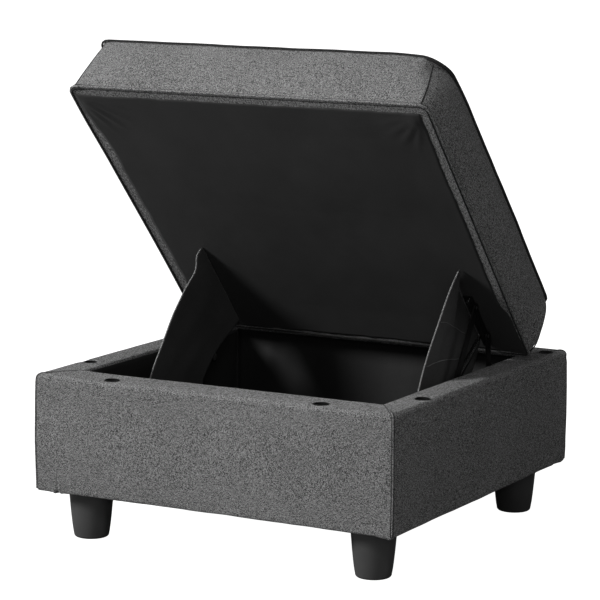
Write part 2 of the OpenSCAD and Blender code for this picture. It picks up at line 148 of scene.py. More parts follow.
def bump_at(values, centre, width):
    """A smooth bump of height 1 round centre."""
    return np.exp(-((values - centre) / width) ** 2)


def step_up(values, low, high):
    t = np.clip((values - low) / (high - low), 0, 1)
    return t * t * (3 - 2 * t)


def ripple(points, scale, seed):
    """Smooth noise from -1 to 1 at each point."""
    shift = Vector((seed, 2.7 * seed, 5.1 * seed))
    return np.array([noise.noise(Vector(p) * scale + shift) for p in points])


def tube(name, path, radius, sides=8, closed=False, up=None):
    """A round cord along a path, of one radius or one for each point. Its rings are squared
    to up, or else carried along."""
    path = np.asarray(path, float)
    count = len(path)
    radii = np.broadcast_to(radius, count)
    if closed:
        ahead, behind = np.roll(path, -1, 0), np.roll(path, 1, 0)
    else:
        ahead = np.vstack([path[1:], path[-1:]])
        behind = np.vstack([path[:1], path[:-1]])
    way = ahead - behind
    way /= np.linalg.norm(way, axis=1)[:, None]
    side = np.array(up if up is not None else (1.0, 0.0, 0.0))
    points = []
    for p, t, radius in zip(path, way, radii):
        if up is None:
            side = side - t * (side @ t)
            across = side / np.linalg.norm(side)
            side = across
        else:
            across = np.cross(t, side)
            across /= np.linalg.norm(across)
        third = np.cross(t, across)
        for k in range(sides):
            a = 2 * math.pi * k / sides
            points.append(p + radius * (math.cos(a) * across + math.sin(a) * third))
    faces = grid_faces(count, sides, wrap=True)
    if closed:
        last = (count - 1) * sides
        faces += [(last + k, last + (k + 1) % sides, (k + 1) % sides, k) for k in range(sides)]
    else:
        end = count * sides
        faces += [tuple(range(sides)), tuple(range(end - 1, end - sides - 1, -1))]
    return new_piece(name, points, faces)


def stitches(name, path, pitch, length, radius, closed=False):
    """A row of sewn stitches along a path: each is a short pointed bead of thread."""
    path = np.asarray(path, float)
    if closed:
        path = np.vstack([path, path[:1]])
    reach = np.concatenate([[0], np.cumsum(np.linalg.norm(np.diff(path, axis=0), axis=1))])
    points, faces = [], []
    for s in np.arange(pitch / 2, reach[-1] - length, pitch):
        a, b = (np.array([np.interp(q, reach, path[:, k]) for k in range(3)])
                for q in (s, s + length))
        t = (b - a) / max(np.linalg.norm(b - a), 1e-9)
        across = np.cross(t, (0.3, 0.5, 0.8))
        across /= np.linalg.norm(across)
        third = np.cross(t, across)
        first, middle = len(points), (a + b) / 2
        ring = [middle + radius * v for v in (across, third, -across, -third)]
        points += [a, b] + ring
        for k in range(4):
            one, two = first + 2 + k, first + 2 + (k + 1) % 4
            faces += [(first, two, one), (first + 1, one, two)]
    return new_piece(name, points, faces)


def side_points(corner, along, out, length, ends, shares):
    """One side of a rounded rectangle, from the middle of its first corner's arc to that of
    its second. Ends are the two corners' radii, and shares say how far along each point lies."""
    first, last = ends
    arc, straight, end_arc = first * math.pi / 4, length - first - last, last * math.pi / 4
    points = []
    for share in shares:
        s = share * (arc + straight + end_arc)
        if s < arc:
            turn, run, r = s / first - math.pi / 4, first, first
        elif s > arc + straight:
            turn, run, r = (s - arc - straight) / last, length - last, last
        else:
            turn, run, r = 0.0, first + s - arc, 0.0
        points.append(corner + along * (run + r * math.sin(turn)) + out * r * (math.cos(turn) - 1))
    return points


def ring(half_w, front, rear, radii, shares_x, shares_y):
    """A rounded rectangle as [x, y] points, from the front-left corner along the front. Radii
    are its corners', in the same order."""
    corners = np.array([(-half_w, front), (half_w, front), (half_w, rear), (-half_w, rear)])
    ways = np.array([(1, 0), (0, 1), (-1, 0), (0, -1)], float)
    outs = np.array([(0, -1), (1, 0), (0, 1), (-1, 0)], float)
    lengths = [2 * half_w, rear - front] * 2
    points = []
    for k in range(4):
        shares = shares_x if k % 2 == 0 else shares_y
        ends = (radii[k], radii[(k + 1) % 4])
        points += side_points(corners[k], ways[k], outs[k], lengths[k], ends, shares)
    return np.array(points)


def spread(length, near, step, extra=()):
    """Shares along a side: at the near distances from both ends, at extra ones, and then one
    every step. The far corner's own point belongs to the next side."""
    count = round((length - 2 * near[-1]) / step)
    places = list(near) + [length - d for d in near[1:]]
    places += list(np.linspace(near[-1], length - near[-1], count + 1)[1:-1])
    places += list(extra)
    return sorted(set(round(p / length, 6) for p in places))


# ---------- materials ----------


class Look:
    """A material built from nodes. Numbers that are the same all over are set on the shader."""

    def __init__(self, name, rough, metal=0.0, sheen=0.0, coat=0.0):
        self.material = bpy.data.materials.new(name)
        self.material.use_nodes = True
        self.nodes = self.material.node_tree.nodes
        self.links = self.material.node_tree.links
        self.shader = self.nodes["Principled BSDF"]
        for socket, value in (("Roughness", rough), ("Metallic", metal), ("Sheen Weight", sheen),
                              ("Sheen Roughness", 0.5), ("Coat Weight", coat)):
            self.shader.inputs[socket].default_value = value
        self.coords = self.nodes.new("ShaderNodeTexCoord").outputs["Object"]

    def put(self, socket, value):
        if isinstance(value, bpy.types.NodeSocket):
            self.links.new(value, socket)
        else:
            socket.default_value = value

    def stretched(self, stretch):
        mapping = self.nodes.new("ShaderNodeMapping")
        mapping.inputs["Scale"].default_value = stretch
        self.links.new(self.coords, mapping.inputs["Vector"])
        return mapping.outputs["Vector"]

    def noise(self, scale, detail=2.0, stretch=None):
        node = self.nodes.new("ShaderNodeTexNoise")
        node.inputs["Scale"].default_value = scale
        node.inputs["Detail"].default_value = detail
        self.links.new(self.stretched(stretch) if stretch else self.coords, node.inputs["Vector"])
        return node.outputs["Fac"]

    def math(self, kind, *values):
        node = self.nodes.new("ShaderNodeMath")
        node.operation = kind
        for socket, value in zip(node.inputs, values):
            self.put(socket, value)
        return node.outputs[0]

    def total(self, base, *parts):
        """base plus each part's amount times its pattern, the pattern taken from its middle."""
        value = base
        for pattern, amount in parts:
            centred = self.math("SUBTRACT", pattern, 0.5)
            value = self.math("MULTIPLY_ADD", centred, amount, value)
        return value

    def weave(self, period):
        """Two crossed sets of threads, on faces square to any of the axes."""
        split = self.nodes.new("ShaderNodeSeparateXYZ")
        self.links.new(self.coords, split.inputs[0])
        wave = [self.math("SINE", self.math("MULTIPLY", split.outputs[k], 2 * math.pi / period))
                for k in range(3)]
        crossed = [self.math("MULTIPLY", wave[a], wave[b]) for a, b in ((0, 1), (1, 2), (2, 0))]
        both = self.math("ADD", self.math("ADD", crossed[0], crossed[1]), crossed[2])
        return self.math("MULTIPLY_ADD", both, 0.25, 0.5)

    def colour(self, fac, dark, light):
        """The surface colour, from dark where fac is 0 to light where it is 1."""
        node = self.nodes.new("ShaderNodeMix")
        node.data_type = "RGBA"
        node.clamp_factor = True
        self.put(node.inputs["Factor"], fac)
        sockets = [s for s in node.inputs if s.type == "RGBA"]
        sockets[0].default_value, sockets[1].default_value = (*dark, 1), (*light, 1)
        out = [s for s in node.outputs if s.type == "RGBA"][0]
        self.links.new(out, self.shader.inputs["Base Color"])

    def rough(self, fac, low, high):
        node = self.nodes.new("ShaderNodeMapRange")
        self.put(node.inputs["Value"], fac)
        node.inputs["To Min"].default_value, node.inputs["To Max"].default_value = low, high
        self.links.new(node.outputs["Result"], self.shader.inputs["Roughness"])

    def bump(self, height, distance, strength=1.0):
        node = self.nodes.new("ShaderNodeBump")
        node.inputs["Distance"].default_value = distance
        node.inputs["Strength"].default_value = strength
        self.put(node.inputs["Height"], height)
        self.links.new(node.outputs["Normal"], self.shader.inputs["Normal"])


def grey(value, warm=0.0):
    return (value * (1 + warm), value, value * (1 - warm))


FLECK_SCALE, THREAD_SCALE, THREAD_LENGTH = 1250, 420, 4
DEPTH_RUN = 0.45


def fabric_look(name, dark, light, weave_period=1.5 * MM):
    """Heathered linen-look upholstery: flecks, thick and thin threads, soft clouding. The
    grain runs longer from front to rear, as DEPTH_RUN says."""
    look = Look(name, 0.95, sheen=0.1)
    fleck = look.noise(FLECK_SCALE, 2.0, (1, DEPTH_RUN, 1))
    across = look.noise(THREAD_SCALE, 2.0, (1, DEPTH_RUN, THREAD_LENGTH))
    upright = look.noise(THREAD_SCALE, 2.0, (THREAD_LENGTH, 1.8, 1))
    cloud = look.noise(7, 2.0)
    threads = look.weave(weave_period)
    fac = look.total(0.5, (fleck, 4.6), (across, 3.6), (upright, 4.2), (cloud, 0.4), (threads, 0.2))
    look.colour(fac, dark, light)
    height = look.total(0.5, (threads, 0.7), (across, 0.8), (upright, 0.8))
    look.bump(height, 0.5 * MM, 0.8)
    return look.material


def black_cloth_look(name, dark, light, period, gloss):
    """Thin black non-woven cloth: fine fibres, pressed dots and a soft sheen."""
    look = Look(name, gloss, sheen=0.08)
    fibres = look.noise(600, 3.0, (1, 1, 0.4))
    cloud = look.noise(9, 3.0)
    dots = look.weave(period)
    look.colour(look.total(0.5, (fibres, 0.8), (cloud, 0.9), (dots, 0.3)), dark, light)
    look.rough(cloud, gloss - 0.06, gloss + 0.08)
    look.bump(look.total(0.5, (dots, 0.6), (fibres, 0.5)), 0.2 * MM, 0.5)
    return look.material


def metal_look(name, dark, light, rough, metal, scratch):
    """Coated or plated steel: mottled, finely scratched, smoother where it is handled."""
    look = Look(name, rough, metal=metal)
    mottle = look.noise(60, 4.0)
    lines = look.noise(90, 2.0, (1, 9, 9))
    look.colour(look.total(0.5, (mottle, 0.9), (lines, 0.5)), dark, light)
    look.rough(mottle, rough - 0.08, rough + 0.12)
    look.bump(look.total(0.5, (lines, scratch), (mottle, 0.3)), 0.1 * MM, 0.4)
    return look.material


def wood_look(name, dark, light, stretch, rough=0.65):
    """Sawn timber or board: long grain, fine pores and knots of tone."""
    look = Look(name, rough)
    grain = look.noise(30, 4.0, stretch)
    pores = look.noise(700, 2.0)
    cloud = look.noise(4, 2.0)
    look.colour(look.total(0.5, (grain, 1.6), (pores, 0.4), (cloud, 0.5)), dark, light)
    look.bump(look.total(0.5, (grain, 0.8), (pores, 0.3)), 0.2 * MM, 0.5)
    return look.material


def plastic_look(name, dark, light, rough, grain):
    """Moulded plastic with a fine spark-eroded grain and faint rub marks."""
    look = Look(name, rough)
    texture = look.noise(900, 3.0)
    rub = look.noise(25, 3.0)
    look.colour(look.total(0.5, (rub, 0.8), (texture, 0.3)), dark, light)
    look.rough(rub, rough - 0.06, rough + 0.08)
    look.bump(texture, grain, 0.35)
    return look.material


def foam_look(name, dark, light):
    """Open-cell foam, slightly yellowed in places."""
    look = Look(name, 0.9)
    cells = look.noise(800, 3.0)
    look.colour(look.total(0.5, (cells, 1.2), (look.noise(10), 0.4)), dark, light)
    look.bump(cells, 0.6 * MM, 0.8)
    return look.material


LOOKS = {
    "upholstery": fabric_look("heather_fabric", grey(0.022), grey(0.335)),
    "piping": fabric_look("piping_fabric", grey(0.006), grey(0.05), 1.1 * MM),
    # seam_shadow: near-black cords laid in seam ditches, painted shade where the cloth dips in
    "seam_shadow": black_cloth_look("seam_painted_shade", grey(0.006), grey(0.02), 1.2 * MM, 0.8),
    "edge_tape": fabric_look("edge_tape", grey(0.12), grey(0.42), 1.0 * MM),
    # A lighter grey for cords on the guard's pressed folds: a painted highlight where the black
    # cloth's folds catch the light
    "crease_painted_highlight": black_cloth_look("crease_painted_highlight", grey(0.13), grey(0.30), 1.2 * MM, 0.6),
    "dust_cover": black_cloth_look("dust_cover_cloth", grey(0.016), grey(0.034), 1.8 * MM, 0.72),
    "lining": black_cloth_look("lining_cloth", grey(0.008), grey(0.021), 1.5 * MM, 0.55),
    "guard_fabric": black_cloth_look("guard_cloth", grey(0.04), grey(0.095), 1.2 * MM, 0.6),
    "hinge_steel": metal_look("black_steel", grey(0.010), grey(0.035), 0.38, 0.55, 0.4),
    "spring_steel": metal_look("spring_steel", grey(0.05), grey(0.16), 0.32, 0.9, 0.5),
    "zinc_steel": metal_look("zinc_steel", grey(0.35), grey(0.62, 0.01), 0.3, 1.0, 0.3),
    "panel_board": wood_look("panel_board", (0.36, 0.24, 0.13), (0.62, 0.46, 0.29), (6, 6, 1)),
    "timber": wood_look("rail_timber", (0.45, 0.28, 0.13), (0.74, 0.54, 0.33), (1, 7, 7)),
    "foam": foam_look("foam", (0.62, 0.56, 0.42), (0.8, 0.75, 0.6)),
    "bush_plastic": plastic_look("bush_plastic", grey(0.006), grey(0.016), 0.42, 0.05 * MM),
    "leg_plastic": plastic_look("leg_plastic", grey(0.062), grey(0.104), 0.34, 0.06 * MM),
}


def finish_piece(piece, look, body):
    """Gives a new piece its material, and makes it ride on a body."""
    piece.data.materials.clear()
    piece.data.materials.append(LOOKS[look])
    if body:
        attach(piece, body)
    return piece


# CAD nodes that stay, by the finish they take
CAD_LOOKS = {
    "panel_board": ("_panel", "lid_deck"),
    "timber": ("_rail", "corner_posts", "leg_blocks"),
    "foam": ("_rim_pad", "lid_foam"),
    "zinc_steel": ("screws", "_pins", "leg_bolts", "leg_nuts"),
    "hinge_steel": ("hinge_plate", "_link_left", "_link_right", "lid_bracket"),
    "bush_plastic": ("socket_bushes",),
}
for look, marks in CAD_LOOKS.items():
    for name, node in NODES.items():
        if any(mark in name for mark in marks):
            node.data.materials.clear()
            node.data.materials.append(LOOKS[look])


# ---------- the box's upholstery ----------

EDGE_R = 8.5 * MM
INNER_R = 6 * MM
HEM_R = 4 * MM
WALL_BULGE = 1.2 * MM
COVER_SHEET = 1.6 * MM
SOCKET_CUT_R, SOCKET_DIP = 11.4 * MM, 1.1 * MM
PULL_X = -0.283
near = [d * MM for d in (0, 1.2, 2.6, 4.5, 7, 10, 14, 20)]
pull_spots = [HALF_W + PULL_X + d * MM for d in (-9, -6, -4, -2.5, -1.2, 0, 1.2, 2.5, 4, 6, 9)]
shares_x = spread(2 * HALF_W, near, 9 * MM, pull_spots)
shares_y = spread(2 * HALF_D, near, 9 * MM)
rims = np.array([RIM_SIDE, RIM_FRONT, RIM_REAR])


def box_rows():
    """The cover's section: each row is its insets from the three kinds of side, its level
    and its corner radius, from the fold under the box to the return inside the rim."""
    even = np.ones(3)
    rows = [(even * d * MM, BOX_Z + up * MM, 5 * MM)
            for d, up in ((45, 0.8), (30, 0.6), (15, 0.3), (5, 0))]
    rows += [(even * HEM_R * (1 - math.sin(a)), BOX_Z + HEM_R * (1 - math.cos(a)), 5 * MM)
             for a in (0.5, 1.0, math.pi / 2)]
    low, high = BOX_Z + HEM_R, RIM_Z - EDGE_R
    for up in (4, 8, 13, 19, 26, 35, 46, 60, 75, 90, 105, 120, 135, 150, 163, 171):
        z = low + (high - low) * up / 176
        rows.append((-even * WALL_BULGE * math.sin(math.pi * (z - low) / (high - low)), z, 5 * MM))
    for a in np.linspace(0, math.pi / 2, 9):
        rows.append((even * EDGE_R * (1 - math.cos(a)), high + EDGE_R * math.sin(a), 6 * MM))
    for t in np.linspace(0, 1, 9)[1:]:
        insets = EDGE_R + (rims - INNER_R - EDGE_R) * t
        rows.append((insets, RIM_Z, (6 - 4 * t) * MM))
    for a in np.linspace(0, math.pi / 2, 6)[1:]:
        rows.append((rims - INNER_R * (1 - math.sin(a)), RIM_Z - INNER_R * (1 - math.cos(a)),
                     1.5 * MM))
    for z in (RIM_Z - 10 * MM, RIM_Z - 14 * MM, RIM_Z - 18 * MM):
        rows.append((rims, z, 1.5 * MM))
    return rows


def box_upholstery():
    rows = box_rows()
    points = []
    for (side, front, rear), z, r in rows:
        flat = ring(HALF_W - side, front - HALF_D, HALF_D - rear, (r,) * 4, shares_x, shares_y)
        points.append(np.column_stack([flat, np.full(len(flat), z)]))
    cols = len(points[0])
    piece = new_piece("box_upholstery", np.vstack(points), grid_faces(len(rows), cols, True))
    p, n = coords(piece), normals(piece)
    outward = 1 if (n[:, 0] * p[:, 0]).sum() > 0 else -1
    n = n * outward
    x, y, z = p.T
    on_front = step_up(-y, HALF_D - 12 * MM, HALF_D - 4 * MM)
    on_right = step_up(x, HALF_W - 12 * MM, HALF_W - 4 * MM)
    low = 1 - step_up(z, BOX_Z + 4 * MM, BOX_Z + 34 * MM)
    hem = 1 - step_up(z, BOX_Z + 6 * MM, BOX_Z + 16 * MM)
    wall = step_up(z, BOX_Z, BOX_Z + 25 * MM) * (1 - step_up(z, RIM_Z - 22 * MM, RIM_Z - 6 * MM))
    push = wall * (0.7 * ripple(p, 9, 1) + 0.35 * ripple(p, 26, 2)) * MM
    # A pinched pleat by the front-left leg, and two puckers by the rear right leg
    push -= 1.2 * MM * on_front * low * bump_at(x, PULL_X, 1.8 * MM)
    push += 1.9 * MM * on_front * low * bump_at(x, PULL_X - 5.5 * MM, 3.5 * MM)
    push += 1.0 * MM * on_front * low * bump_at(x, PULL_X + 6 * MM, 4 * MM)
    push += 1.6 * MM * on_front * low * bump_at(x, HALF_W - 20 * MM, 6 * MM)
    push -= 0.9 * MM * on_front * low * bump_at(x, HALF_W - 30 * MM, 3 * MM)
    for spot, depth in ((0.118, 0.9), (0.285, 1.2), (0.31, -0.9)):
        slant = y - spot - 0.5 * (z - BOX_Z)
        push -= depth * MM * on_right * low * bump_at(slant, 0, 5 * MM)
    push -= 1.0 * MM * on_right * bump_at(z, RIM_Z - 13 * MM, 3 * MM) * step_up(y, -0.31, -0.26)
    p = p + n * push[:, None]
    # The hem is slightly wavy, notched at the pleat, and a tip of cloth hangs at the corner
    plan = p * np.array([1, 1, 0])
    wave = 0.8 * ripple(plan, 14, 3) + 0.4 * ripple(plan, 45, 4)
    lift = hem * (wave - 1.4 - 0.8 * step_up(x, 0, HALF_W)) * MM
    lift += 2.6 * MM * hem * on_front * bump_at(x, PULL_X, 3 * MM)
    lift -= 3.2 * MM * hem * on_front * bump_at(x, HALF_W - 7 * MM, 7 * MM)
    # The rim's foam is softer between its fixings and dips round each socket
    top = step_up(z, RIM_Z - 12 * MM, RIM_Z - 4 * MM)
    lift += top * (0.35 * ripple(p, 20, 5) - 0.35 + 1.4 * step_up(-x, 0.2, 0.31)) * MM
    for sx, sy in SOCKETS:
        far = np.hypot(x - sx, y - sy)
        lift -= top * SOCKET_DIP * bump_at(far, 11 * MM, 7 * MM)
    p[:, 2] += lift
    set_coords(piece, p)
    rings = [np.arange(k * cols, (k + 1) * cols) for k in range(len(rows))]
    starts = [0, len(shares_x), len(shares_x) + len(shares_y), 2 * len(shares_x) + len(shares_y)]
    seams = [p[[r[s] for r in rings[4:]]] for s in starts]
    if outward < 0:
        piece.data.flip_normals()
    thicken(piece, COVER_SHEET)
    return piece, seams


def cut_sockets(piece, radius):
    """Opens the cover over each socket."""
    sides, low, high = 40, RIM_Z - 20 * MM, RIM_Z + 20 * MM
    points, faces = [], []
    for sx, sy in SOCKETS:
        first = len(points)
        for z in (low, high):
            for k in range(sides):
                a = 2 * math.pi * k / sides
                points.append((sx + radius * math.cos(a), sy + radius * math.sin(a), z))
        faces += grid_faces(2, sides, True, first)
        faces += [tuple(range(first, first + sides)),
                  tuple(range(first + 2 * sides - 1, first + sides - 1, -1))]
    cutter = new_piece("socket_cutter", points, faces)
    modifier = piece.modifiers.new("sockets", "BOOLEAN")
    modifier.operation, modifier.solver, modifier.object = "DIFFERENCE", "EXACT", cutter
    bake_modifiers(piece)
    bpy.data.objects.remove(cutter)


box_cover, box_seams = box_upholstery()
cut_sockets(box_cover, SOCKET_CUT_R)
finish_piece(box_cover, "upholstery", "base")
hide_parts("base_cover", "front_rim_pad", "rear_rim_pad", "left_rim_pad",
            "right_rim_pad")

WALL_ROWS = 30
WELT_R, DITCH_R, MITRE_R = 1.3 * MM, 0.7 * MM, 0.55 * MM
for k, line in enumerate(box_seams):
    corner = line[:, :2] / np.abs(line[:, :2]) * math.sqrt(0.5)
    wall_line, rim_line = line[2:WALL_ROWS], line[WALL_ROWS - 3:-4]
    out = np.column_stack([corner, np.zeros(len(corner))])
    ridge = wall_line + out[2:WALL_ROWS] * 0.5 * MM
    finish_piece(tube(f"corner_welt_{k}", ridge, WELT_R), "upholstery", "base")
    # Near-black cords in the ditches either side of each corner welt: painted shade
    for side, name in ((-1, "a"), (1, "b")):
        across = np.column_stack([-corner[:, 1], corner[:, 0], np.zeros(len(corner))])
        ditch = wall_line + across[2:WALL_ROWS] * side * 2.0 * MM - out[2:WALL_ROWS] * 0.9 * MM
        finish_piece(tube(f"corner_ditch_shade_{k}{name}", ditch, DITCH_R, 6), "seam_shadow", "base")
    # A near-black cord along each rim mitre: painted shade in the seam
    mitre = rim_line + np.array([0, 0, 0.15 * MM])
    finish_piece(tube(f"mitre_seam_shade_{k}", mitre, MITRE_R, 6), "seam_shadow", "base")

# ---------- the lid's upholstery, by cloth simulation ----------

LID_STEP = 8 * MM
BOTTOM_R = np.array([15, 14, 5, 9]) * MM
TOP_R = np.array([19, 44, 17, 14]) * MM
LEAN = 3 * MM
FRAMES, PRESSURE, TOP_CAP, SIDE_CAP = 20, 4.0, 9 * MM, 6 * MM
REAR_BULGE, RIGHT_BULGE = 6 * MM, 5 * MM
SLACK_REACH, SLACK = 62 * MM, np.array([-5, 5, -1.5]) * MM
TOP_CROWN, RIGHT_TAPER = 3 * MM, 5 * MM


def lid_rows():
    """The cushion's section from the underside's inner edge over the boxing to the top's:
    inset, level, corner radius."""
    rows = [(d * MM, 0.0, np.maximum(BOTTOM_R - d * MM, 0)) for d in (40, 30, 21, 14, 8, 4)]
    rows += [(1.2 * MM, 0.4 * MM, BOTTOM_R), (0.2 * MM, 2.2 * MM, BOTTOM_R)]
    levels = np.linspace(6 * MM, 105 * MM, 13)
    for z in levels:
        t = z / LID_T
        rows.append((LEAN * t * t, z, BOTTOM_R + (TOP_R - BOTTOM_R) * t))
    for d, z in ((0.2, 109.5), (1.4, 112), (4.5, 113.2)):
        rows.append((LEAN + d * MM, z * MM, np.maximum(TOP_R - d * MM, 2 * MM)))
    for d in (11, 18, 26, 34):
        rows.append((LEAN + d * MM, (113 + d * 0.08) * MM, np.maximum(TOP_R - d * MM, 2 * MM)))
    return rows


def simulate(piece, hold, cap, pressure):
    """Blows a closed cover up as cloth. hold is how firmly each point is kept, and no point
    moves further than its cap."""
    rest = coords(piece)
    group = piece.vertex_groups.new(name="hold")
    levels = np.round(hold, 2)
    for level in np.unique(levels):
        if level > 0:
            spots = np.nonzero(levels == level)[0].tolist()
            group.add(spots, float(level), "REPLACE")
    cloth = piece.modifiers.new("cloth", "CLOTH")
    settings = cloth.settings
    settings.quality = 4
    settings.mass = 0.3
    settings.tension_stiffness = settings.compression_stiffness = 30
    settings.shear_stiffness = 8
    settings.bending_stiffness = 1.5
    settings.use_pressure = True
    settings.uniform_pressure_force = pressure
    settings.vertex_group_mass = "hold"
    settings.effector_weights.gravity = 0
    scene = bpy.context.scene
    scene.frame_start, scene.frame_end = 1, FRAMES
    for step in range(1, FRAMES + 1):
        scene.frame_set(step)
    evaluated = piece.evaluated_get(bpy.context.evaluated_depsgraph_get())
    moved = np.array([v.co for v in evaluated.data.vertices]) - rest
    piece.modifiers.clear()
    piece.vertex_groups.clear()
    scene.frame_set(1)
    far = np.linalg.norm(moved, axis=1)
    keep = cap * np.tanh(far / cap) / np.maximum(far, 1e-9)
    set_coords(piece, rest + moved * keep[:, None])


def narrowed(p):
    """The cushion's left side runs in towards the rear and out at the front corner."""
    p = p.copy()
    run = 6.5 * MM * step_up(p[:, 1], -0.52, -0.12) - 3 * MM * (1 - step_up(p[:, 1], -0.55, -0.42))
    p[:, 0] += run * step_up(-p[:, 0], 0.1, 0.3)
    return p


def lid_upholstery():
    nx, ny = round(2 * LID_SIDE / LID_STEP), round((LID_BACK - LID_FRONT) / LID_STEP)
    across, deep = np.arange(nx) / nx, np.arange(ny) / ny
    rows = lid_rows()
    points = []
    for inset, z, r in rows:
        flat = ring(LID_SIDE - inset, LID_FRONT + inset, LID_BACK - inset, r, across, deep)
        points.append(np.column_stack([flat, np.full(len(flat), z)]))
    cols = len(points[0])
    faces = grid_faces(len(rows), cols, True)
    count = cols * len(rows)
    points = [np.vstack(points)]
    # The flat middles of the underside and of the top fill their first and last rings
    for base, z in ((0, 0.0), (count - cols, None)):
        edge = points[0][base:base + cols]
        xs, ys = edge[:nx + 1, 0], edge[nx:nx + ny + 1, 1]
        z = edge[0, 2] if z is None else z
        place = {}
        order = [(i, 0) for i in range(nx)] + [(nx, j) for j in range(ny)]
        order += [(i, ny) for i in range(nx, 0, -1)] + [(0, j) for j in range(ny, 0, -1)]
        for k, spot in enumerate(order):
            place[spot] = base + k
        inner = []
        for j in range(1, ny):
            for i in range(1, nx):
                place[(i, j)] = count + len(inner)
                inner.append((xs[i], ys[j], z))
        count += len(inner)
        points.append(np.array(inner))
        for i in range(nx):
            for j in range(ny):
                cell = ((i, j), (i + 1, j), (i + 1, j + 1), (i, j + 1))
                faces.append(tuple(place[spot] for spot in cell))
    piece = new_piece("lid_upholstery", np.vstack(points), faces)
    p = narrowed(coords(piece))
    # Its front right corner is packed less tightly than the rest
    far = np.hypot(p[:, 0] - LID_SIDE, p[:, 1] - LID_FRONT)
    slack = bump_at(far, 0, SLACK_REACH) * step_up(p[:, 2], 25 * MM, LID_T)
    p += slack[:, None] * SLACK
    # The right side leans in towards its front
    slope = step_up(p[:, 0], 0.25, 0.31) * step_up(p[:, 2], 20 * MM, LID_T)
    p[:, 0] -= RIGHT_TAPER * slope * (1 - step_up(p[:, 1], -0.58, -0.2))
    # The top starts slightly crowned
    mid_y = (LID_FRONT + LID_BACK) / 2
    dome = (1 - np.clip(np.abs(p[:, 0]) / LID_SIDE, 0, 1) ** 4) * (
        1 - np.clip(np.abs(p[:, 1] - mid_y) / (mid_y - LID_FRONT), 0, 1) ** 4)
    p[:, 2] += step_up(p[:, 2], 109 * MM, 113 * MM) * dome * TOP_CROWN
    set_coords(piece, p)
    bottom, seam = 7 * cols, (len(rows) - 7) * cols
    corner_cols = [0, nx - 1, nx + ny, 2 * nx + ny]
    hold = np.zeros(len(p))
    hold[p[:, 2] < 1 * MM] = 1.0
    hold[6 * cols:8 * cols] = 1.0
    hold[seam + cols:seam + 2 * cols] = 0.6
    for k in corner_cols:
        for row in range(8, len(rows) - 6):
            hold[row * cols + k] = 0.5
    cap = np.where(p[:, 2] > 110 * MM, TOP_CAP, SIDE_CAP)
    simulate(piece, hold, cap, PRESSURE)
    p, n = coords(piece), normals(piece)
    rear = step_up(p[:, 1], -50 * MM, -20 * MM) * step_up(p[:, 2], 0, 30 * MM)
    wrinkle = step_up(p[:, 2], 4 * MM, 20 * MM) * (0.6 * ripple(p, 12, 6) + 0.35 * ripple(p, 30, 7))
    right = step_up(p[:, 0], 0.29, 0.315) * np.sin(np.pi * np.clip(p[:, 2] / LID_T, 0, 1))
    push = wrinkle * MM + right * RIGHT_BULGE
    push += rear * REAR_BULGE * (1 - step_up(p[:, 2], 90 * MM, 112 * MM))
    columns = [[row * cols + k for row in range(7, len(rows) - 5)] for k in corner_cols]
    # The fabric is drawn in along the corner seams, most at the top. The front right seam
    # lies before its corner, and the slack behind it is drawn in further
    for k in corner_cols:
        for row in range(8, len(rows) - 6):
            high = rows[row][1] / LID_T
            for off in range(-4, 9):
                width = (6 + 6 * high) * MM
                if k == nx - 1:
                    width = 34 * MM if off > 0 else 10 * MM
                reach = math.exp(-(off * LID_STEP / width) ** 2)
                push[row * cols + (k + off) % cols] -= (1.4 + 5.2 * high) * MM * reach
    set_coords(piece, p + n * push[:, None])
    p, n = coords(piece), normals(piece)
    loops = {"top": slice(seam + cols, seam + 2 * cols), "bottom": slice(bottom, bottom + cols)}
    lines = {name: (p[s], n[s]) for name, s in loops.items()}
    corners = [(p[c], n[c]) for c in columns]
    subdivide(piece)
    return piece, lines, corners


def lid_piece(piece, look):
    """Places a piece made in the lid's own frame, and makes it ride on the lid."""
    piece.matrix_world = LID_PLACE
    return finish_piece(piece, look, "lid")


lid_cover, lid_lines, lid_corners = lid_upholstery()
lid_piece(lid_cover, "upholstery")
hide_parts("lid_cover", "lid_foam")

LID_UP = (0.0, 0.0, 1.0)
top_line, top_out = lid_lines["top"]
top_r = (1.8 + 1.2 * step_up(top_line[:, 0], 0.27, 0.31)) * MM
top_welt = tube("lid_top_welt", top_line + top_out * 1.0 * MM, top_r, 10, True, LID_UP)
lid_piece(top_welt, "piping")
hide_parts("lid_top_piping")
bottom_line, bottom_out = lid_lines["bottom"]
flat_out = bottom_out * np.array([1, 1, 0])
flat_out /= np.linalg.norm(flat_out, axis=1)[:, None]
bottom_welt = tube("lid_bottom_welt", bottom_line + flat_out * 1.6 * MM, 2.2 * MM, 10, True, LID_UP)
lid_piece(bottom_welt, "upholstery")
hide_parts("lid_bottom_piping")
# Near-black cords above and below the bottom welt: painted shade in its seam ditches, widest along
# the left side and thinnest along the front
at_left = step_up(-bottom_line[:, 0], 0.29, 0.31)
at_front = step_up(-bottom_line[:, 1], 0.575, 0.59) * (1 - at_left)
seam_r = (1.1 - 0.5 * at_front + 0.6 * at_left) * MM
for name, up, out in (("upper", 3.3, 1.0), ("lower", -2.3, -1.6)):
    ditch = bottom_line + flat_out * out * MM + np.array([0, 0, up * MM])
    lid_piece(tube(f"lid_seam_shade_{name}", ditch, seam_r, 6, True, LID_UP), "seam_shadow")
flat = top_out * np.array([1, 1, 0])
flat /= np.linalg.norm(flat, axis=1)[:, None]
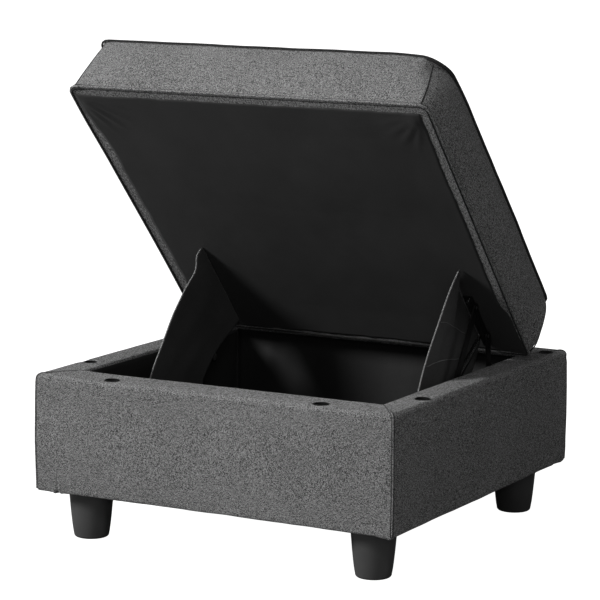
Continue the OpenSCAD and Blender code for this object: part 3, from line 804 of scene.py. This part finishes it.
# Near-black cords inside and below the top welt: painted shade in its seam ditches
for name, way in (("inner", -flat), ("outer", np.array([0, 0, -1.0]))):
    ditch = top_line + way * 2.9 * MM + top_out * 0.4 * MM
    lid_piece(tube(f"lid_top_seam_shade_{name}", ditch, 0.7 * MM, 6, True, LID_UP), "seam_shadow")
stitch_line = bottom_line + flat_out * 0.35 * MM + np.array([0, 0, 5.5 * MM])
lid_piece(stitches("lid_stitches", stitch_line, 5 * MM, 3.4 * MM, 0.35 * MM, True), "piping")
# A near-black cord down each corner seam of the boxing: painted shade in the drawn-in seam
for k, (line, out) in enumerate(lid_corners):
    lid_piece(tube(f"lid_corner_seam_shade_{k}", line[1:-1] + out[1:-1] * 0.3 * MM, 1.1 * MM, 6),
              "seam_shadow")

# ---------- black cloth under the lid and under the box ----------

SHEET_T = 0.7 * MM
CLOTH_SIDE, CLOTH_FRONT, CLOTH_REAR = 0.31, -0.583, -0.012


def flat_sheet(name, half_x, y_low, y_high, z, nx, ny, shape):
    """A rectangular sheet; shape moves its points."""
    xs, ys = np.linspace(-half_x, half_x, nx), np.linspace(y_low, y_high, ny)
    points = np.array([(x, y, z) for y in ys for x in xs])
    piece = new_piece(name, shape(points), grid_faces(ny, nx))
    return piece


def lid_cloth(p):
    """The cloth sags between the rails, puckers near its front corners, and its tacked left
    edge runs out towards the front."""
    x, y, z = p.T.copy()
    frame_in = 0.262
    bays = np.zeros(len(p))
    for low, high in ((-0.52, -0.335), (-0.275, -0.085)):
        across = np.clip((frame_in - np.abs(x)) / 0.08, 0, 1)
        bays += np.sin(np.pi * np.clip((y - low) / (high - low), 0, 1)) * step_up(across, 0, 1)
    sag = 2.2 * bays + (0.5 * ripple(p, 11, 8) + 0.25 * ripple(p, 34, 9)) * step_up(
        0.31 - np.abs(x), 0, 20 * MM)
    for sx in (-1, 1):
        for turn, reach in ((0.35, 1.6), (0.62, 2.6), (0.9, 3.2), (1.2, 2.0)):
            dx, dy = (CLOTH_SIDE - sx * x), (y - CLOTH_FRONT)
            along = dx * math.cos(turn) + dy * math.sin(turn)
            off = dx * math.sin(turn) - dy * math.cos(turn)
            sag += reach * bump_at(off, 0, 4 * MM) * step_up(along, 0.006, 0.025) * (
                1 - step_up(along, 0.04, 0.11))
    edge = np.minimum(np.abs(np.abs(x) - CLOTH_SIDE), np.minimum(y - CLOTH_FRONT, CLOTH_REAR - y))
    z -= sag * MM * step_up(edge, 0, 8 * MM)
    hem = (2.0 * ripple(p, 18, 10) + 2.0 * ripple(p, 48, 11)) * MM
    front = 1 - step_up(y, CLOTH_FRONT, CLOTH_FRONT + 12 * MM)
    y = y + hem * front + 1.4 * hem * step_up(y, CLOTH_REAR - 12 * MM, CLOTH_REAR)
    spread_left = 12.5 * MM * (1 - step_up(y, -0.575, -0.45)) - 7.5 * MM
    x = x - spread_left * step_up(-x, 0.2, 0.31) + hem * step_up(np.abs(x), 0.298, 0.31)
    x = x + (11.5 * step_up(y, -0.15, -0.09) - 3.5) * MM * step_up(x, 0.27, 0.31)
    return narrowed(np.column_stack([x, y, z]))


lid_sheet = flat_sheet("lid_underside_cloth", CLOTH_SIDE, CLOTH_FRONT, CLOTH_REAR, -0.3 * MM,
                       124, 112, lid_cloth)
thicken(lid_sheet, SHEET_T, 0)
lid_piece(lid_sheet, "dust_cover")
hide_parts("lid_dust_cover")


half_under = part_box("base_dust_cover")[1].x


def base_cloth(p):
    """The cloth under the box sags a little away from its tacked edges."""
    x, y, z = p.T.copy()
    free = step_up(0.28 - np.abs(x), 0, 0.05) * step_up(0.28 - np.abs(y), 0, 0.05)
    z += 0.8 * MM + (1.2 * ripple(p, 6, 12) - 0.8) * MM * free
    return np.column_stack([x, y, z])


base_sheet = flat_sheet("base_underside_cloth", half_under, -half_under, half_under,
                        BOX_Z, 60, 60, base_cloth)
thicken(base_sheet, SHEET_T, 0)
finish_piece(base_sheet, "dust_cover", "base")
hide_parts("base_dust_cover")

# ---------- linings of the box ----------

LINING_TOP = RIM_Z - 3.5 * MM
PLATE_LOW = 0.215


def wall_lining(name, start, along, inward, length, seed, clear):
    """A hung lining of one wall, with soft upright folds; clear keeps its top edge flat."""
    cols, rows = max(int(length / (8 * MM)), 2), 22
    start, along, inward = (np.array(v, float) for v in (start, along, inward))
    points = []
    for i in range(rows):
        z = DECK_Z + 1 * MM + (LINING_TOP - DECK_Z - 1 * MM) * i / (rows - 1)
        for j in range(cols):
            s = length * j / (cols - 1)
            points.append(np.append(start + along * s, z))
    points = np.array(points)
    s = (points[:, :2] - start) @ along
    up = points[:, 2]
    free = step_up(up, DECK_Z, DECK_Z + 20 * MM) * (1 - step_up(up, clear - 60 * MM, clear))
    ends = step_up(s, 0, 25 * MM) * step_up(length - s, 0, 25 * MM)
    stripe = np.array([noise.noise(Vector((v * 13 + seed, w * 2, seed))) for v, w in zip(s, up)])
    fine = np.array([noise.noise(Vector((v * 34, w * 6, seed + 9))) for v, w in zip(s, up)])
    depth = (3.2 * (stripe + 0.4) + 1.1 * fine) * MM * free * ends
    points[:, :2] += inward * np.maximum(depth, 0)[:, None]
    piece = new_piece(name, points, grid_faces(rows, cols))
    thicken(piece, SHEET_T, 0)
    finish_piece(piece, "lining", "base")
    return piece


LINING_GAP = 0.9 * MM
wide, deep = 2 * INNER_X, INNER_REAR - INNER_FRONT
hung = (("front", (-INNER_X, INNER_FRONT + LINING_GAP), (1, 0), (0, 1), wide, LINING_TOP),
        ("rear", (-INNER_X, INNER_REAR - LINING_GAP), (1, 0), (0, -1), wide, LINING_TOP),
        ("left", (-INNER_X + LINING_GAP, INNER_FRONT), (0, 1), (1, 0), deep, PLATE_LOW),
        ("right", (INNER_X - LINING_GAP, INNER_FRONT), (0, 1), (-1, 0), deep, PLATE_LOW))
for k, (side, start, along, inward, length, clear) in enumerate(hung):
    cloth = wall_lining(f"{side}_cloth", start, along, inward, length, 3.0 + 4 * k, clear)
    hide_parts(f"{side}_lining")


def floor_cloth(p):
    """The cloth on the box's floor lies in soft folds."""
    x, y, z = p.T.copy()
    z += np.maximum(1.6 * ripple(p, 10, 13) + 0.6 * ripple(p, 30, 14), 0) * MM
    return np.column_stack([x, y, z])


floor_sheet = flat_sheet("floor_cloth", INNER_X - 1 * MM, INNER_FRONT, INNER_REAR,
                         DECK_Z + 1 * MM, 60, 56, floor_cloth)
thicken(floor_sheet, SHEET_T, 0)
finish_piece(floor_sheet, "lining", "base")
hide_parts("floor_lining")

# ---------- guards beside the hinges ----------

GUARD_LOW = -118
# Points are (across from the middle, forward of the box's rear face, above the rim), in mm
GUARDS = {
    "left": {
        "front": [(-222, 296, 171), (-225, 312, 159), (-228, 305, 146), (-229, 303, 134),
                  (-231, 309, 125), (-234, 332, 104), (-237, 345, 85), (-240, 361, 64),
                  (-242, 376, 40), (-244, 392, 14), (-246, 414, -18), (-246, 428, -40),
                  (-246, 434, -75), (-246, 436, GUARD_LOW)],
        "rear": [(-224, 167, 27), (-226, 172, 20), (-229, 182, 12), (-232, 195, 3),
                 (-236, 217, -14), (-240, 238, -38), (-243, 254, -60), (-245, 264, -85),
                 (-246, 270, GUARD_LOW)],
    },
    "right": {
        "front": [(262, 297, 171), (259, 306, 161), (257, 313, 149), (254, 323, 130),
                  (252, 336, 108), (250, 350, 85), (248, 366, 60), (246, 383, 33),
                  (245, 397, 6), (244, 407, -14), (244, 420, -60), (244, 428, GUARD_LOW)],
        "rear": [(243, 182, 43), (243, 180, 30), (243, 184, 12), (243, 200, -8),
                 (243, 222, -30), (243, 244, -60), (243, 262, -90), (243, 270, GUARD_LOW)],
    },
}
GUARD_ROWS, GUARD_COLS = 70, 34
GUARD_T, TAPE_R, CREASE_R = 1.2 * MM, 1.35 * MM, 0.55 * MM
# The right guard stays this far in beside the spring and the bracket, and may lie
# FREE_X further out above and in front of them
CLEAR_X, FREE_X = 243.5, 18
# Pressed folds, by how far down they start, how much they slope and how far they run
GUARD_CREASES = {"left": (), "right": ((0.29, -0.2, 0.65), (0.545, -0.29, 0.68))}


def resample(line, count, softly=4):
    """Points evenly far apart along a line through the given ones, softened."""
    line = np.asarray(line, float)
    reach = np.concatenate([[0], np.cumsum(np.linalg.norm(np.diff(line, axis=0), axis=1))])
    places = np.linspace(0, reach[-1], count)
    even = np.column_stack([np.interp(places, reach, line[:, k]) for k in range(3)])
    for _ in range(softly):
        even[1:-1] = (even[:-2] + 2 * even[1:-1] + even[2:]) / 4
    return even


def in_frame(points):
    """Guard points, given from the box's rear face and rim in mm, in the row frame."""
    x, forward, up = np.asarray(points, float).T
    return np.column_stack([x * MM, HALF_D - forward * MM, RIM_Z + up * MM])


def guard(side, sign):
    """A hung sheet between its front and rear edges, sewn under the lid along its top."""
    ends = GUARDS[side]
    softly = 5 if side == "left" else 40
    front, rear = (resample(ends[key], GUARD_ROWS, softly) for key in ("front", "rear"))
    rows = []
    for i in range(GUARD_ROWS):
        t = np.linspace(0, 1, GUARD_COLS)[:, None]
        rows.append(front[i] * (1 - t) + rear[i] * t)
    flat = np.vstack(rows)
    share = np.tile(np.linspace(0, 1, GUARD_COLS), GUARD_ROWS)
    down = np.repeat(np.linspace(0, 1, GUARD_ROWS), GUARD_COLS)
    belly = np.sin(np.pi * share) * np.sin(np.pi * np.clip(down * 1.15, 0, 1))
    folds = np.sin(share * 17 + down * 6) * 1.1 + np.sin(share * 7 - down * 9 + 1) * 1.6
    inward = 5 * belly * (1 if side == "left" else 0.3) + folds * belly
    flat[:, 0] -= sign * inward
    if side == "right":
        x, forward, up = flat.T.copy()
        near_spring = step_up(330 - forward, 0, 30)
        limit = CLEAR_X + FREE_X * step_up(up, 60, 110) * step_up(forward, 272, 296)
        flat[:, 0] = x * (1 - near_spring) + np.minimum(x, limit) * near_spring
    piece = new_piece(f"guard_{side}", in_frame(flat), grid_faces(GUARD_ROWS, GUARD_COLS))
    cells = coords(piece).reshape(GUARD_ROWS, GUARD_COLS, 3)
    edge = cells[:, 0]
    thicken(piece, GUARD_T, 0)
    finish_piece(piece, "guard_fabric", "base")
    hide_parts(f"flap_{side}")
    tape = tube(f"guard_tape_{side}", edge[1:-1], TAPE_R, 8)
    finish_piece(tape, "edge_tape", "base")
    sewn = [tape]
    # Each pressed fold gets a thin lighter cord along its crest: a painted highlight
    for k, (level, slope, reach) in enumerate(GUARD_CREASES[side]):
        spots = np.linspace(0.02, reach, 24)
        fold = [cells[round((level + slope * q) * (GUARD_ROWS - 1)), round(q * (GUARD_COLS - 1))]
                for q in spots]
        fold = resample(fold, 20) + np.array([0.8 * MM, 0, 0])
        crease = tube(f"guard_crease_{side}_{k}", fold, CREASE_R, 6)
        sewn.append(finish_piece(crease, "crease_painted_highlight", "base"))
    for soft in [piece] + sewn:
        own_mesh(soft)
    return piece


for side, sign in (("left", -1), ("right", 1)):
    guard(side, sign)

# ---------- springs and legs ----------

PIVOT_B = np.array((0.131377, 0.320905))
SPRING_POST = np.array((0.003, 0.23806))
SPRING_X, COIL_R, WIRE_R, HOOK_R = 0.2544, 4.0 * MM, 1.0 * MM, 4.9 * MM
TURNS, COIL_GAP = 30, 16 * MM
steps_a_turn, hook_steps = 16, 14


def spring(side, sign):
    """One wire: a hook round the post, the coil, and a hook round the rear lid pivot."""
    span = np.linalg.norm(PIVOT_B - SPRING_POST)
    sweep = np.linspace(0, math.radians(250), hook_steps)
    lower = [(0, HOOK_R * math.sin(a), HOOK_R * math.cos(a)) for a in sweep[::-1]]
    body = span - 2 * COIL_GAP
    coil = []
    for i in range(TURNS * steps_a_turn + 1):
        a = 2 * math.pi * i / steps_a_turn
        coil.append((COIL_R * math.sin(a), COIL_R * math.cos(a),
                     COIL_GAP + body * i / (TURNS * steps_a_turn)))
    upper = [(0, HOOK_R * math.sin(a), span - HOOK_R * math.cos(a)) for a in sweep]
    path = np.array(lower + coil + upper)
    way = (PIVOT_B - SPRING_POST) / span
    across, run = path[:, 1], path[:, 2]
    y = SPRING_POST[0] + way[0] * run + way[1] * across
    z = SPRING_POST[1] + way[1] * run - way[0] * across
    points = np.column_stack([sign * SPRING_X + path[:, 0], y, z])
    piece = tube(f"coil_spring_{side}", points, WIRE_R, 8)
    finish_piece(piece, "spring_steel", "base")
    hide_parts(f"spring_{side}")
    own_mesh(piece)


for side, sign in (("left", -1), ("right", 1)):
    spring(side, sign)

LEG_SIDES, FOOT_SHARE, BELLY = 96, 54 / 74, 0.62


def leg(node):
    """A smooth turned leg in place of the CAD one: a round foot edge, a slight belly and a
    small shoulder under the box."""
    low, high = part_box(node)
    centre, top_r, height = (low + high) / 2, (high.x - low.x) / 2, high.z - low.z
    foot_r, edge = top_r * FOOT_SHARE, 5 * MM

    def radius(z):
        return foot_r + (top_r - foot_r) * (z / height) ** BELLY

    rim = radius(edge)
    profile = [(0, 0), (rim - edge, 0)]
    profile += [(rim - edge * (1 - math.sin(a)), edge * (1 - math.cos(a)))
                for a in np.linspace(0, math.pi / 2, 8)[1:]]
    profile += [(radius(z), z) for z in np.linspace(edge, height - 1 * MM, 16)[1:]]
    profile += [(top_r - 0.4 * MM, height - 0.3 * MM), (top_r - 1.2 * MM, height), (0, height)]
    points = []
    for r, z in profile:
        for k in range(LEG_SIDES):
            a = 2 * math.pi * k / LEG_SIDES
            points.append((centre.x + r * math.cos(a), centre.y + r * math.sin(a), z))
    faces = grid_faces(len(profile), LEG_SIDES, True)
    piece = new_piece(node.replace("leg_", "turned_leg_"), points, faces)
    weld = bmesh.new()
    weld.from_mesh(piece.data)
    bmesh.ops.remove_doubles(weld, verts=weld.verts, dist=1e-6)
    bmesh.ops.dissolve_degenerate(weld, dist=1e-7, edges=weld.edges)
    weld.to_mesh(piece.data)
    weld.free()
    piece.data.shade_smooth()
    finish_piece(piece, "leg_plastic", "base")
    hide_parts(node)


for node in ("leg_front_left", "leg_front_right", "leg_rear_left", "leg_rear_right"):
    leg(node)

# ---------- studio and camera ----------

FLOOR_SIZE, FLOOR_BOUNCE, FLOOR_GLOW = 60.0, 0.22, 0.86
AMBIENT, BACKDROP = 0.10, 1.0


def studio_world():
    """A white backdrop that lights the scene only softly."""
    world = bpy.data.worlds.new("studio")
    bpy.context.scene.world = world
    world.use_nodes = True
    tree = world.node_tree
    back = tree.nodes["Background"]
    back.inputs["Color"].default_value = (1, 1, 1, 1)
    seen = tree.nodes.new("ShaderNodeLightPath").outputs["Is Camera Ray"]
    level = tree.nodes.new("ShaderNodeMapRange")
    tree.links.new(seen, level.inputs["Value"])
    level.inputs["To Min"].default_value, level.inputs["To Max"].default_value = AMBIENT, BACKDROP
    tree.links.new(level.outputs["Result"], back.inputs["Strength"])


def floor():
    """A pale floor. It looks as bright as the backdrop, apart from a faint contact shadow,
    and throws only a little light back."""
    h = FLOOR_SIZE / 2
    piece = new_piece("floor", [(-h, -h, 0), (h, -h, 0), (h, h, 0), (-h, h, 0)], [(0, 1, 2, 3)])
    look = Look("studio_floor", 0.95)
    look.colour(look.noise(0.8, 2.0), grey(FLOOR_BOUNCE), grey(FLOOR_BOUNCE + 0.02))
    glow = look.nodes.new("ShaderNodeEmission")
    far = look.nodes.new("ShaderNodeVectorMath")
    far.operation = "LENGTH"
    look.links.new(look.coords, far.inputs[0])
    fade = look.nodes.new("ShaderNodeMapRange")
    look.links.new(far.outputs["Value"], fade.inputs["Value"])
    for socket, value in zip(fade.inputs[1:5], (0.5, 1.6, FLOOR_GLOW, 1.0)):
        socket.default_value = value
    seen = look.nodes.new("ShaderNodeLightPath").outputs["Is Camera Ray"]
    look.links.new(look.math("MULTIPLY", fade.outputs["Result"], seen), glow.inputs["Strength"])
    both = look.nodes.new("ShaderNodeAddShader")
    look.links.new(look.shader.outputs[0], both.inputs[0])
    look.links.new(glow.outputs[0], both.inputs[1])
    look.links.new(both.outputs[0], look.nodes["Material Output"].inputs["Surface"])
    piece.data.materials.append(look.material)


def softbox(name, place, aim, size, watts):
    """A round soft light turned towards aim."""
    light = bpy.data.lights.new(name, "AREA")
    light.shape, light.size, light.energy = "DISK", size, watts
    lamp = bpy.data.objects.new(name, light)
    bpy.context.scene.collection.objects.link(lamp)
    lamp.location = place
    lamp.rotation_mode = "QUATERNION"
    lamp.rotation_quaternion = (Vector(aim) - Vector(place)).to_track_quat("-Z", "Y")


studio_world()
floor()
OBJECT_MIDDLE = (0, 0, 0.3)
# Each light's name, place, size in metres and power in watts
for name, place, size, watts in (("key", (-3.2, -3.4, 2.6), 1.4, 198),
                                 ("near_front", (0.6, -1.5, 1.2), 0.4, 3.2),
                                 ("front_right", (2.6, -4.1, 1.4), 1.4, 17),
                                 ("overhead", (-0.4, -0.8, 3.8), 2.0, 25),
                                 ("right_fill", (4.0, 1.0, 2.8), 2.0, 14)):
    softbox(name, place, OBJECT_MIDDLE, size, watts)

CAMERA_PLACE = (2.21595, -4.05307, 1.11719)
CAMERA_YAW, CAMERA_PITCH, CAMERA_ROLL = 0.50345, 0.15894, 0.00663
CAMERA_LENS = 169.74


def camera():
    """A long lens, set by yaw, downward pitch and a slight roll."""
    cy, sy = math.cos(CAMERA_YAW), math.sin(CAMERA_YAW)
    cp, sp = math.cos(CAMERA_PITCH), math.sin(CAMERA_PITCH)
    ahead = Vector((-sy * cp, cy * cp, -sp))
    level = Vector((cy, sy, 0))
    above = level.cross(ahead)
    right = level * math.cos(CAMERA_ROLL) + above * math.sin(CAMERA_ROLL)
    up = above * math.cos(CAMERA_ROLL) - level * math.sin(CAMERA_ROLL)
    data = bpy.data.cameras.new("camera")
    data.lens, data.sensor_width = CAMERA_LENS, 36
    data.clip_start, data.clip_end = 0.1, 100
    camera = bpy.data.objects.new("camera", data)
    bpy.context.scene.collection.objects.link(camera)
    turn = Matrix((right, up, -ahead)).transposed().to_4x4()
    camera.matrix_world = Matrix.Translation(CAMERA_PLACE) @ turn
    bpy.context.scene.camera = camera


camera()
bpy.context.scene.view_settings.view_transform = "Standard"
bpy.context.scene.view_settings.look = "Medium High Contrast"
